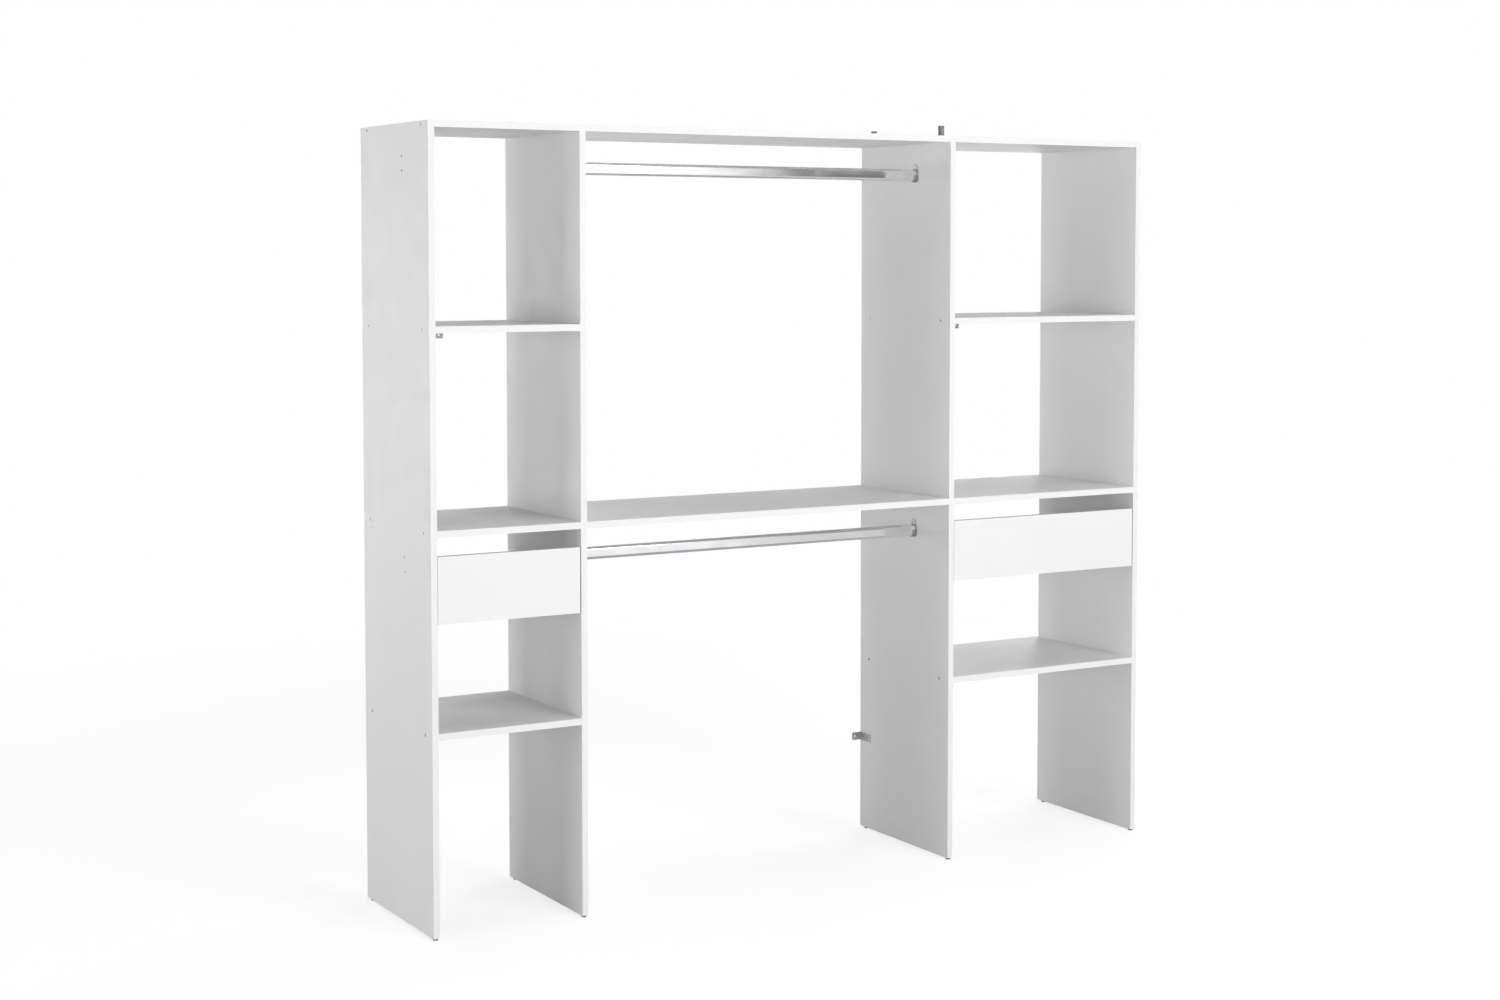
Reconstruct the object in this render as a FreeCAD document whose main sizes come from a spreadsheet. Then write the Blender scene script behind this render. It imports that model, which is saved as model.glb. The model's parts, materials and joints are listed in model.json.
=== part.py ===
import FreeCAD, Part
import os
import re
import Sketcher
from FreeCAD import Placement, Rotation, Vector

# Open-front wardrobe of white melamine board: four uprights, three top boards, seven shelves,
# two hanging rods in the middle bay and a drawer on roller runners in each side bay.
# X runs along the front, +Y points to the wall behind, +Z up, and the origin is on the floor
# under the middle of the wardrobe. All sizes are in millimetres.

SIZES = {
    # Boards and bays
    "board": 15,
    "upright_height": 1800,
    "depth": 400,
    "left_bay": 350,
    "middle_bay": 1000,
    "right_bay": 570,
    "shelf_pitch": 448,
    # Gap round a part that is pushed or screwed into its hole, and how far a cut runs past a face
    "fit_gap": 0.05,
    "overrun": 2,
    # Connecting screws and cam bolts, in line at the front and back of each shelf end
    "fixing_inset": 40,
    "connector_head_diameter": 7,
    "connector_head_length": 3,
    "connector_diameter": 5,
    "connector_length": 48,
    "connector_end_gap": 1,
    "socket_width": 4,
    "socket_depth": 2.4,
    "cam_bolt_diameter": 6,
    "cam_reach": 24,
    "cam_diameter": 15,
    "cam_depth": 12.5,
    "recess_span": 3.6,
    "recess_slot": 1.2,
    "recess_depth": 1,
    # Wooden dowels in the shelf ends
    "dowel_diameter": 8,
    "dowel_length": 30,
    "dowel_in_upright": 6,
    # Countersunk wood screws for brackets and runners
    "screw_head_diameter": 7,
    "screw_head_height": 1.8,
    "screw_diameter": 3.5,
    "screw_length": 14,
    # Glides under the uprights
    "glide_height": 4,
    "glide_diameter": 12,
    "glide_chamfer": 1,
    "glide_pin_diameter": 3,
    "glide_pin_length": 14,
    "glide_front_inset": 8,
    "glide_back_inset": 20,
    # Hanging rods of flat oval tube
    "rod_height": 30,
    "rod_width": 15,
    "rod_wall": 1,
    "rod_drop": 93,
    "rod_inset": 152,
    "rod_end_gap": 0.5,
    # Open cup brackets that the rods lie in
    "plate_thickness": 2,
    "plate_width": 24,
    "plate_height": 35,
    "cup_wall": 1.8,
    "cup_gap": 0.3,
    "cup_length": 10,
    "cup_rise": 1,
    "tab_width": 17,
    "upper_screw_rise": 20,
    "bracket_screw_pitch": 32,
    # Blind holes drilled in the outer faces at the height of the rods
    "pilot_diameter": 5,
    "pilot_depth": 9,
    # Wall brackets, and the height of the lower ones above the feet of the uprights
    "wall_bracket_level": 240,
    "wall_bracket_width": 20,
    "wall_bracket_sheet": 2,
    "wall_leg": 26,
    "board_leg": 50,
    "wall_hole_diameter": 5,
    "wall_hole_reach": 18,
    "leg_screw_inset": 12,
    "leg_screw_pitch": 24,
    # Studs on top of the inner right upright
    "stud_diameter": 15,
    "stud_height": 27,
    "stud_chamfer": 1,
    "stud_pin_diameter": 4,
    "stud_pin_length": 20,
    "stud_front_inset": 52,
    "stud_back_inset": 46,
    # Drawer fronts, which sit a little to the left in their bays, and boxes
    "finger_gap": 41.5,
    "front_height": 150,
    "front_left_gap": 1,
    "front_right_gap": 3,
    "box_board": 12,
    "box_height": 78,
    "box_rise": 14,
    "box_length": 350,
    "bottom_thickness": 3,
    "groove_rise": 8,
    "groove_depth": 5,
    "groove_gap": 0.1,
    "box_dowel_diameter": 6,
    "box_dowel_length": 22,
    "box_dowel_in_front": 10,
    "box_dowel_in_side": 8,
    "box_dowel_inset": 16,
    # Roller runners
    "runner_gap": 12.5,
    "runner_sheet": 1.2,
    "rail_flange": 10,
    "rail_setback": 2,
    "runner_gap_side": 1,
    "roller_diameter": 20,
    "roller_width": 6,
    "roller_gap": 0.3,
    "roller_rise": 0.6,
    "roller_inset": 12,
    "roller_side_gap": 0.8,
    "roller_chamfer": 0.8,
    "axle_diameter": 5,
    "axle_gap": 0.05,
    "axle_head_diameter": 8,
    "axle_head": 0.9,
    "rail_screw_inset": 60,
    "slide_screw_inset": 70,
    "slide_screw_reach": 4,
}

NODES = {}

doc = FreeCAD.newDocument("open_front_wardrobe")
sheet = doc.addObject("Spreadsheet::Sheet", "Sizes")
for row, (alias, size) in enumerate(SIZES.items(), start=1):
    sheet.set(f"A{row}", alias.replace("_", " "))
    sheet.set(f"B{row}", str(size))
    sheet.setAlias(f"B{row}", alias)
doc.recompute()


def formula(text):
    """Point every size named in the text at its cell in the sheet."""
    return re.sub(r"[a-z]+(_[a-z]+)*", lambda word: sheet_cell(word.group()), text)


def sheet_cell(word):
    return f"Sizes.{word}" if word in SIZES else word


def value(text):
    """Number of millimetres that a formula gives now."""
    return float(sheet.evalExpression(formula(text)))


def bind(item, prop, text):
    item.setExpression(prop, formula(text))


def place(item, at, turn=None):
    """Put an object at three formulas, turned by a rotation."""
    if turn is not None:
        item.Placement = Placement(Vector(), turn)
    for axis, text in zip("xyz", at):
        bind(item, f".Placement.Base.{axis}", text)
    return item


def node(name, item):
    """Keep an object as the sub-part of that name."""
    item.Label = name
    NODES[name] = item
    return item


# Turns that lay a part made along +Z in another direction
UP = Rotation()
DOWN = Rotation(Vector(1, 0, 0), 180)
RIGHT = Rotation(Vector(0, 1, 0), 90)
LEFT = Rotation(Vector(0, 1, 0), -90)
BACKWARD = Rotation(Vector(1, 0, 0), -90)
ABOUT = Rotation(Vector(0, 0, 1), 180)


# Plain solids, booleans and copies

def box(name, size, at):
    item = doc.addObject("Part::Box", name)
    for prop, text in zip(("Length", "Width", "Height"), size):
        bind(item, prop, text)
    return place(item, at)


def cylinder(name, radius, length, at, turn=UP):
    item = doc.addObject("Part::Cylinder", name)
    bind(item, "Radius", radius)
    bind(item, "Height", length)
    return place(item, at, turn)


def fuse(name, items):
    item = doc.addObject("Part::MultiFuse", name)
    item.Shapes = items
    item.Refine = True
    return item


def cut(name, base, tools):
    """Cut tools that don't touch each other from a base."""
    item = doc.addObject("Part::Cut", name)
    item.Base = base
    item.Tool = tools[0] if len(tools) == 1 else gather(f"{name}_tools", tools)
    return item


def gather(name, items):
    item = doc.addObject("Part::Compound", name)
    item.Links = items
    return item


def copies(name, seed, places):
    """Copies of a seed part, one at each (place, turn)."""
    links = []
    for index, (at, turn) in enumerate(places, start=1):
        link = doc.addObject("App::Link", f"{name}_{index}")
        link.LinkedObject = seed
        links.append(place(link, at, turn))
    return links


# Bodies made from sketches

def origin_plane(body, role):
    return next(item for item in body.Origin.OriginFeatures if item.Role == role)


def outline(body, name, plane, points):
    """Closed sketch through points that are written as pairs of formulas."""
    sketch = body.newObject("Sketcher::SketchObject", name)
    sketch.AttachmentSupport = [(origin_plane(body, plane), "")]
    sketch.MapMode = "FlatFace"
    corners = [Vector(value(across), value(up), 0) for across, up in points]
    count = len(corners)
    for index in range(count):
        sketch.addGeometry(Part.LineSegment(corners[index], corners[(index + 1) % count]))
    for index in range(count):
        sketch.addConstraint(Sketcher.Constraint("Coincident", index, 2, (index + 1) % count, 1))
    for index, (across, up) in enumerate(points):
        for kind, text in (("DistanceX", across), ("DistanceY", up)):
            number = sketch.addConstraint(Sketcher.Constraint(kind, -1, 1, index, 1, value(text)))
            bind(sketch, f"Constraints[{number}]", text)
    return sketch


def pad(body, name, sketch, length, backwards=False):
    item = body.newObject("PartDesign::Pad", name)
    item.Profile = sketch
    item.Reversed = backwards
    bind(item, "Length", length)
    return item


def pocket(body, name, sketch, depth, backwards=False):
    """Cut a sketch into the body, and make sure that it takes material away."""
    doc.recompute()
    before = body.Shape.Volume
    item = body.newObject("PartDesign::Pocket", name)
    item.Profile = sketch
    item.Reversed = backwards
    bind(item, "Length", depth)
    doc.recompute()
    if not body.Shape.Volume < before:
        raise RuntimeError(f"{name} cuts nothing")
    return item


def turned(name, points):
    """Body turned about +Z from an outline of (radius, height) formulas."""
    body = doc.addObject("PartDesign::Body", name)
    sketch = outline(body, f"{name}_outline", "XZ_Plane", points)
    turning = body.newObject("PartDesign::Revolution", f"{name}_turning")
    turning.Profile = sketch
    turning.ReferenceAxis = (sketch, ["V_Axis"])
    turning.Angle = 360
    return body


def cross_recess(body, name):
    """Cross-shaped recess in a face at height zero, cut downwards into a part that lies under it."""
    arm = "recess_span / 2"
    half = "recess_slot / 2"
    corners = [(arm, half), (half, half), (half, arm)]
    points = list(corners)
    points += [(f"-({across})", up) for across, up in reversed(corners)]
    points += [(f"-({across})", f"-({up})") for across, up in corners]
    points += [(across, f"-({up})") for across, up in reversed(corners)]
    sketch = outline(body, f"{name}_cross", "XY_Plane", points)
    return pocket(body, f"{name}_recess", sketch, "recess_depth")


# Where the uprights, bays and levels are

WIDTH = "(4 * board + left_bay + middle_bay + right_bay)"
FRONT = "(-depth / 2)"
BACK = "(depth / 2)"
UPRIGHT_FACES = {
    "outer_left": f"(-{WIDTH} / 2)",
    "inner_left": f"(-{WIDTH} / 2 + board + left_bay)",
    "inner_right": f"({WIDTH} / 2 - 2 * board - right_bay)",
    "outer_right": f"({WIDTH} / 2 - board)",
}
BAYS = {
    "left": ("outer_left", "inner_left", "left_bay"),
    "middle": ("inner_left", "inner_right", "middle_bay"),
    "right": ("inner_right", "outer_right", "right_bay"),
}
SHELVES = {
    "left_top_board": ("left", 0),
    "left_upper_shelf": ("left", 1),
    "left_middle_shelf": ("left", 2),
    "left_lower_shelf": ("left", 3),
    "middle_top_board": ("middle", 0),
    "middle_shelf": ("middle", 2),
    "right_top_board": ("right", 0),
    "right_upper_shelf": ("right", 1),
    "right_middle_shelf": ("right", 2),
    "right_lower_shelf": ("right", 3),
}
ROD_LEVELS = {"upper": 0, "lower": 2}
CAM_LEVELS = (0, 2)
DRAWER_LEVEL = 2
FIXING_ROWS = (f"({FRONT} + fixing_inset)", f"({BACK} - fixing_inset)")


def bay_start(bay):
    return f"({UPRIGHT_FACES[BAYS[bay][0]]} + board)"


def bay_end(bay):
    return UPRIGHT_FACES[BAYS[bay][1]]


def top_of(level):
    """Height of a shelf's upper face, counted down from the top boards at level 0."""
    return f"(glide_height + upright_height - {level} * shelf_pitch)"


def middle_of(level):
    return f"({top_of(level)} - board / 2)"


# Seeds of the fasteners, each made along +Z from the face that its head is flush with downwards,
# and the holes that take them

def connector(name, gap, extra):
    head = f"connector_head_diameter / 2 + {gap}"
    shank = f"connector_diameter / 2 + {gap}"
    tip = f"-(connector_length + {extra})"
    return turned(name, [("0", "0"), (head, "0"), (head, "-connector_head_length"),
                         (shank, "-connector_head_length"), (shank, tip), ("0", tip)])


def wood_screw(name, gap, extra):
    head = f"screw_head_diameter / 2 + {gap}"
    shank = f"screw_diameter / 2 + {gap}"
    tip = f"-(screw_length + {extra})"
    return turned(name, [("0", "0"), (head, "0"), (shank, "-screw_head_height"),
                         (shank, tip), ("0", tip)])


def pin_seed(name, diameter, length, gap, extra):
    item = doc.addObject("Part::Cylinder", name)
    bind(item, "Radius", f"{diameter} / 2 + {gap}")
    bind(item, "Height", f"{length} + {extra}")
    return item


connector_seed = connector("connector_seed", "0", "0")
hexagon = outline(connector_seed, "socket_outline", "XY_Plane",
                  [("socket_width / sqrt(3)", "0"),
                   ("socket_width / sqrt(3) / 2", "socket_width / 2"),
                   ("-socket_width / sqrt(3) / 2", "socket_width / 2"),
                   ("-socket_width / sqrt(3)", "0"),
                   ("-socket_width / sqrt(3) / 2", "-socket_width / 2"),
                   ("socket_width / sqrt(3) / 2", "-socket_width / 2")])
pocket(connector_seed, "socket", hexagon, "socket_depth")
connector_hole = connector("connector_hole", "fit_gap", "connector_end_gap")
screw_seed = wood_screw("screw_seed", "0", "0")
cross_recess(screw_seed, "screw")
screw_hole = wood_screw("screw_hole", "fit_gap", "fit_gap")
dowel_seed = pin_seed("dowel_seed", "dowel_diameter", "dowel_length", "0", "0")
dowel_hole = pin_seed("dowel_hole", "dowel_diameter", "dowel_length", "fit_gap", "overrun")
box_dowel_seed = pin_seed("box_dowel_seed", "box_dowel_diameter", "box_dowel_length", "0", "0")
box_dowel_hole = pin_seed("box_dowel_hole", "box_dowel_diameter", "box_dowel_length", "fit_gap", "fit_gap")
BOLT_LENGTH = "(board + 2 * cam_reach)"
bolt_seed = pin_seed("bolt_seed", "cam_bolt_diameter", BOLT_LENGTH, "0", "0")
bolt_hole = pin_seed("bolt_hole", "cam_bolt_diameter", BOLT_LENGTH, "fit_gap", "0")
cam_hole = turned("cam_hole", [("0", "overrun"), ("cam_diameter / 2 + fit_gap", "overrun"),
                               ("cam_diameter / 2 + fit_gap", "-cam_depth"), ("0", "-cam_depth")])

# Joints between shelves and uprights: what is put in, and the hole that each board gets for it

holes = {name: [] for name in list(UPRIGHT_FACES) + list(SHELVES)}
cam_holes = {name: [] for name in SHELVES}
connector_places = []
bolt_places = []
cam_places = []
dowel_places = []
wood_screw_places = []

for shelf, (bay, level) in SHELVES.items():
    left_upright, right_upright, _ = BAYS[bay]
    middle = middle_of(level)
    ends = (
        (left_upright, bay_start(bay), UPRIGHT_FACES[left_upright], "+", RIGHT, LEFT, ABOUT),
        (right_upright, bay_end(bay), f"({bay_end(bay)} + board)", "-", LEFT, RIGHT, UP),
    )
    for upright, end, far_face, inward, along, head_turn, cam_turn in ends:
        dowel_start = f"{end} {'-' if inward == '+' else '+'} dowel_in_upright"
        dowel = ((dowel_start, "0", middle), along)
        dowel_places.append(dowel)
        holes[upright].append((dowel_hole, dowel))
        holes[shelf].append((dowel_hole, dowel))
        for row in FIXING_ROWS:
            if "inner" in upright and level in CAM_LEVELS:
                bolt = ((f"{UPRIGHT_FACES[upright]} - cam_reach", row, middle), RIGHT)
                if bolt not in bolt_places:
                    bolt_places.append(bolt)
                    holes[upright].append((bolt_hole, bolt))
                holes[shelf].append((bolt_hole, bolt))
                cam_face = top_of(level) if level == 0 else f"({top_of(level)} - board)"
                facing = UP if level == 0 else DOWN
                cam = ((f"{end} {inward} cam_reach", row, cam_face), facing * cam_turn)
                cam_places.append(cam)
                cam_holes[shelf].append((cam_hole, cam))
            else:
                screw = ((far_face, row, middle), head_turn)
                connector_places.append(screw)
                holes[upright].append((connector_hole, screw))
                holes[shelf].append((connector_hole, screw))


# Glides and studs, pushed into the ends of the uprights

GLIDE_RADIUS = "glide_diameter / 2"
glide_seed = turned("glide_seed", [
    ("0", "-glide_height"),
    (f"{GLIDE_RADIUS} - glide_chamfer", "-glide_height"),
    (GLIDE_RADIUS, "glide_chamfer - glide_height"),
    (GLIDE_RADIUS, "0"),
    ("glide_pin_diameter / 2", "0"),
    ("glide_pin_diameter / 2", "glide_pin_length"),
    ("0", "glide_pin_length"),
])
glide_pin_hole = pin_seed("glide_pin_hole", "glide_pin_diameter", "glide_pin_length", "fit_gap", "fit_gap")
glide_places = []
for upright, face in UPRIGHT_FACES.items():
    for along_depth in (f"{FRONT} + glide_front_inset", f"{BACK} - glide_back_inset"):
        glide = ((f"{face} + board / 2", along_depth, "glide_height"), UP)
        glide_places.append(glide)
        holes[upright].append((glide_pin_hole, glide))

STUD_RADIUS = "stud_diameter / 2"
stud_seed = turned("stud_seed", [
    ("0", "-stud_pin_length"),
    ("stud_pin_diameter / 2", "-stud_pin_length"),
    ("stud_pin_diameter / 2", "0"),
    (STUD_RADIUS, "0"),
    (STUD_RADIUS, "stud_height - stud_chamfer"),
    (f"{STUD_RADIUS} - stud_chamfer", "stud_height"),
    ("0", "stud_height"),
])
stud_pin_hole = pin_seed("stud_pin_hole", "stud_pin_diameter", "stud_pin_length", "fit_gap", "overrun")
stud_places = []
for along_depth in (f"{FRONT} + stud_front_inset", f"{BACK} - stud_back_inset"):
    middle_x = f"{UPRIGHT_FACES['inner_right']} + board / 2"
    stud_places.append(((middle_x, along_depth, top_of(0)), UP))
    foot = f"{top_of(0)} - stud_pin_length"
    holes["inner_right"].append((stud_pin_hole, ((middle_x, along_depth, foot), UP)))


# Rods and their brackets

ROD_Y = f"({FRONT} + rod_inset)"
ROD_STRAIGHT = "(rod_height - rod_width)"


def rod_middle(level):
    return f"({top_of(level)} - rod_drop)"


def oval(name, radius, x, z, length, side, straight=ROD_STRAIGHT):
    """Bar along X with an upright oval section, from x inwards: side is 1 for +X and -1 for -X."""
    turn = RIGHT if side > 0 else LEFT
    low = x if side > 0 else f"{x} - ({length})"
    ends = [cylinder(f"{name}_top", radius, length, (x, ROD_Y, f"{z} + {straight} / 2"), turn),
            cylinder(f"{name}_foot", radius, length, (x, ROD_Y, f"{z} - {straight} / 2"), turn)]
    block = box(f"{name}_block", (length, f"2 * ({radius})", straight),
                (low, f"{ROD_Y} - ({radius})", f"{z} - {straight} / 2"))
    return fuse(name, ends + [block])


def rod(name, level):
    z = rod_middle(level)
    start = f"({bay_start('middle')} + plate_thickness + rod_end_gap)"
    length = "middle_bay - 2 * (plate_thickness + rod_end_gap)"
    outside = oval(f"{name}_outside", "rod_width / 2", start, z, length, 1)
    inside = oval(f"{name}_inside", "rod_width / 2 - rod_wall", f"({start} - overrun)", z,
                  f"{length} + 2 * overrun", 1)
    node(name, cut(f"{name}_tube", outside, [inside]))


def rod_bracket(name, upright, face, side, level):
    """Oval plate with a tab above the rod, and a cup that the lower half of the rod's end lies in."""
    z = rod_middle(level)
    turn = RIGHT if side > 0 else LEFT
    step = "+" if side > 0 else "-"
    plate_face = f"({face} {step} plate_thickness)"
    plate = oval(f"{name}_plate", "plate_width / 2", face, z, "plate_thickness", side,
                 "(plate_height - plate_width)")
    cup_radius = "rod_width / 2 + cup_gap + cup_wall"
    hollow_length = "cup_length + overrun"
    blank = oval(f"{name}_blank", cup_radius, face, z, "cup_length", side)
    hollow = oval(f"{name}_hollow", "rod_width / 2 + cup_gap", plate_face, z, hollow_length, side)
    mouth_x = plate_face if side > 0 else f"{plate_face} - ({hollow_length})"
    mouth = box(f"{name}_mouth", (hollow_length, f"2 * ({cup_radius}) + 2 * overrun", "rod_height"),
                (mouth_x, f"{ROD_Y} - ({cup_radius}) - overrun", f"{z} + cup_rise"))
    cup = cut(f"{name}_cup", blank, [fuse(f"{name}_space", [hollow, mouth])])
    tab_x = face if side > 0 else f"{face} - plate_thickness"
    tab = box(f"{name}_tab", ("plate_thickness", "tab_width", "upper_screw_rise"),
              (tab_x, f"{ROD_Y} - tab_width / 2", z))
    tab_end = cylinder(f"{name}_tab_end", "tab_width / 2", "plate_thickness",
                       (face, ROD_Y, f"{z} + upper_screw_rise"), turn)
    body = fuse(f"{name}_body", [plate, cup, tab, tab_end])
    screws = [((plate_face, ROD_Y, f"{z} + upper_screw_rise{drop}"), turn)
              for drop in ("", " - bracket_screw_pitch")]
    wood_screw_places.extend(screws)
    holes[upright] += [(screw_hole, screw) for screw in screws]
    node(name, cut(f"{name}_piece", body, copies(f"{name}_screw_hole", screw_hole, screws)))


for height, level in ROD_LEVELS.items():
    rod(f"{height}_rod", level)
    rod_bracket(f"{height}_rod_left_bracket", "inner_left", bay_start("middle"), 1, level)
    rod_bracket(f"{height}_rod_right_bracket", "inner_right", bay_end("middle"), -1, level)

pilot_hole = pin_seed("pilot_hole", "pilot_diameter", "pilot_depth", "0", "overrun")
for level in ROD_LEVELS.values():
    for drop in ("", " - bracket_screw_pitch"):
        z = f"{rod_middle(level)} + upper_screw_rise{drop}"
        left_face = f"{UPRIGHT_FACES['outer_left']} - overrun"
        right_face = f"{UPRIGHT_FACES['outer_right']} + board + overrun"
        holes["outer_left"].append((pilot_hole, ((left_face, ROD_Y, z), RIGHT)))
        holes["outer_right"].append((pilot_hole, ((right_face, ROD_Y, z), LEFT)))


# Wall brackets at the back: two low on the inner uprights, inside the middle bay, and one under
# the upper shelf of each side bay

FRONT_LEG_SCREW = f"({BACK} - board_leg + leg_screw_inset)"
LEG_SCREW_ROWS = (FRONT_LEG_SCREW, f"({FRONT_LEG_SCREW} + leg_screw_pitch)")


def bent_angle(name, at, side, turn=UP):
    """Angle of bent sheet: one leg against a board, the other flush with the back of the wardrobe."""
    sign = "" if side > 0 else "-"
    sheet_edge = "-wall_bracket_sheet"
    angle = doc.addObject("PartDesign::Body", f"{name}_angle")
    profile = outline(angle, f"{name}_outline", "XY_Plane", [
        ("0", "0"),
        (f"{sign}wall_leg", "0"),
        (f"{sign}wall_leg", sheet_edge),
        (f"{sign}wall_bracket_sheet", sheet_edge),
        (f"{sign}wall_bracket_sheet", "-board_leg"),
        ("0", "-board_leg"),
    ])
    pad(angle, f"{name}_pad", profile, "wall_bracket_width")
    return place(angle, at, turn)


def screwed_bracket(name, angle, hole_x, hole_z, board, screws):
    """Drill an angle for the wall screw, and screw it to a board."""
    wall_hole = cylinder(f"{name}_wall_hole", "wall_hole_diameter / 2", "wall_bracket_sheet + 2 * overrun",
                         (hole_x, f"{BACK} - wall_bracket_sheet - overrun", hole_z), BACKWARD)
    wood_screw_places.extend(screws)
    holes[board] += [(screw_hole, screw) for screw in screws]
    return cut(f"{name}_piece", angle, [wall_hole] + copies(f"{name}_screw_hole", screw_hole, screws))


def upright_bracket(name, upright, face, side):
    step = "+" if side > 0 else "-"
    level = "(glide_height + wall_bracket_level)"
    angle = bent_angle(name, (face, BACK, f"{level} - wall_bracket_width / 2"), side)
    screws = [((f"{face} {step} wall_bracket_sheet", y, level), RIGHT if side > 0 else LEFT)
              for y in LEG_SCREW_ROWS]
    return screwed_bracket(name, angle, f"{face} {step} wall_hole_reach", level, upright, screws)


def shelf_bracket(name, shelf):
    """Bracket under the middle of a shelf, with its wall leg hanging down."""
    bay, level = SHELVES[shelf]
    middle_x = f"({bay_start(bay)} + {BAYS[bay][2]} / 2)"
    under = f"({top_of(level)} - board)"
    angle = bent_angle(name, (f"{middle_x} - wall_bracket_width / 2", BACK, under), 1, RIGHT)
    screws = [((middle_x, y, f"{under} - wall_bracket_sheet"), DOWN) for y in LEG_SCREW_ROWS]
    return screwed_bracket(name, angle, middle_x, f"{under} - wall_hole_reach", shelf, screws)


node("left_wall_bracket", upright_bracket("left_low_bracket", "inner_left", bay_start("middle"), 1))
node("right_wall_bracket", upright_bracket("right_low_bracket", "inner_right", bay_end("middle"), -1))
node("shelf_wall_brackets",
     gather("shelf_bracket_pair", [shelf_bracket(f"{bay}_shelf_bracket", f"{bay}_upper_shelf")
                                   for bay in ("left", "right")]))


# Drawers on roller runners

FRONT_BOTTOM = f"({top_of(DRAWER_LEVEL)} - board - finger_gap - front_height)"
BOX_BOTTOM = f"({FRONT_BOTTOM} + box_rise)"
BOX_START = f"({FRONT} + board)"
ROLLER_RADIUS = "roller_diameter / 2"
REAR_ROLLER_Z = f"({BOX_BOTTOM} + roller_gap + {ROLLER_RADIUS})"
FRONT_ROLLER_Z = f"({REAR_ROLLER_Z} + roller_rise)"
FRONT_ROLLER_Y = f"({BOX_START} + rail_setback + roller_inset)"
REAR_ROLLER_Y = f"({BOX_START} + box_length - roller_inset)"
SLIDE_FLANGE = "(2 * roller_gap + roller_diameter + roller_rise)"
RAIL_INSIDE = f"({SLIDE_FLANGE} + runner_sheet + roller_gap)"


def roller(name, x, y, z, side):
    """Plastic roller on an axle along X, from x inwards."""
    bore = "axle_diameter / 2 + axle_gap"
    chamfer = "roller_chamfer"
    wheel = turned(name, [
        (bore, "0"),
        (f"{ROLLER_RADIUS} - {chamfer}", "0"),
        (ROLLER_RADIUS, chamfer),
        (ROLLER_RADIUS, f"roller_width - {chamfer}"),
        (f"{ROLLER_RADIUS} - {chamfer}", "roller_width"),
        (bore, "roller_width"),
    ])
    node(name, place(wheel, (x, y, z), RIGHT if side > 0 else LEFT))


def axle(name, x, y, z, side):
    """Headed pin from x inwards, riveted into a runner's web."""
    turn = RIGHT if side > 0 else LEFT
    step = "+" if side > 0 else "-"
    reach = "(runner_sheet + roller_side_gap + roller_width + roller_gap)"
    pin = cylinder(f"{name}_pin", "axle_diameter / 2", f"{reach} + axle_head", (x, y, z), turn)
    head = cylinder(f"{name}_head", "axle_head_diameter / 2", "axle_head",
                    (f"{x} {step} {reach}", y, z), turn)
    return [pin, head]


def rail(name, upright, face, side):
    """Channel on the upright as long as the drawer's box, with a roller at its front end."""
    sign = "" if side > 0 else "-"
    step = "+" if side > 0 else "-"
    start = f"({BOX_START} + rail_setback)"
    channel = doc.addObject("PartDesign::Body", f"{name}_channel")
    profile = outline(channel, f"{name}_outline", "XZ_Plane", [
        ("0", "-runner_sheet"),
        (f"{sign}rail_flange", "-runner_sheet"),
        (f"{sign}rail_flange", "0"),
        (f"{sign}runner_sheet", "0"),
        (f"{sign}runner_sheet", RAIL_INSIDE),
        (f"{sign}rail_flange", RAIL_INSIDE),
        (f"{sign}rail_flange", f"{RAIL_INSIDE} + runner_sheet"),
        ("0", f"{RAIL_INSIDE} + runner_sheet"),
    ])
    pad(channel, f"{name}_pad", profile, "box_length", backwards=True)
    place(channel, (face, start, BOX_BOTTOM))
    pin = axle(f"{name}_axle", face, FRONT_ROLLER_Y, FRONT_ROLLER_Z, side)
    body = fuse(f"{name}_body", [channel] + pin)
    screw_z = f"{BOX_BOTTOM} + {RAIL_INSIDE} / 2"
    screws = [((f"{face} {step} runner_sheet", y, screw_z), RIGHT if side > 0 else LEFT)
              for y in (f"{start} + rail_screw_inset", f"{start} + box_length - rail_screw_inset")]
    wood_screw_places.extend(screws)
    holes[upright] += [(screw_hole, screw) for screw in screws]
    node(name, cut(f"{name}_piece", body, copies(f"{name}_screw_hole", screw_hole, screws)))
    roller_x = f"{face} {step} (runner_sheet + roller_side_gap)"
    roller(f"{name}_roller", roller_x, FRONT_ROLLER_Y, FRONT_ROLLER_Z, side)


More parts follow.
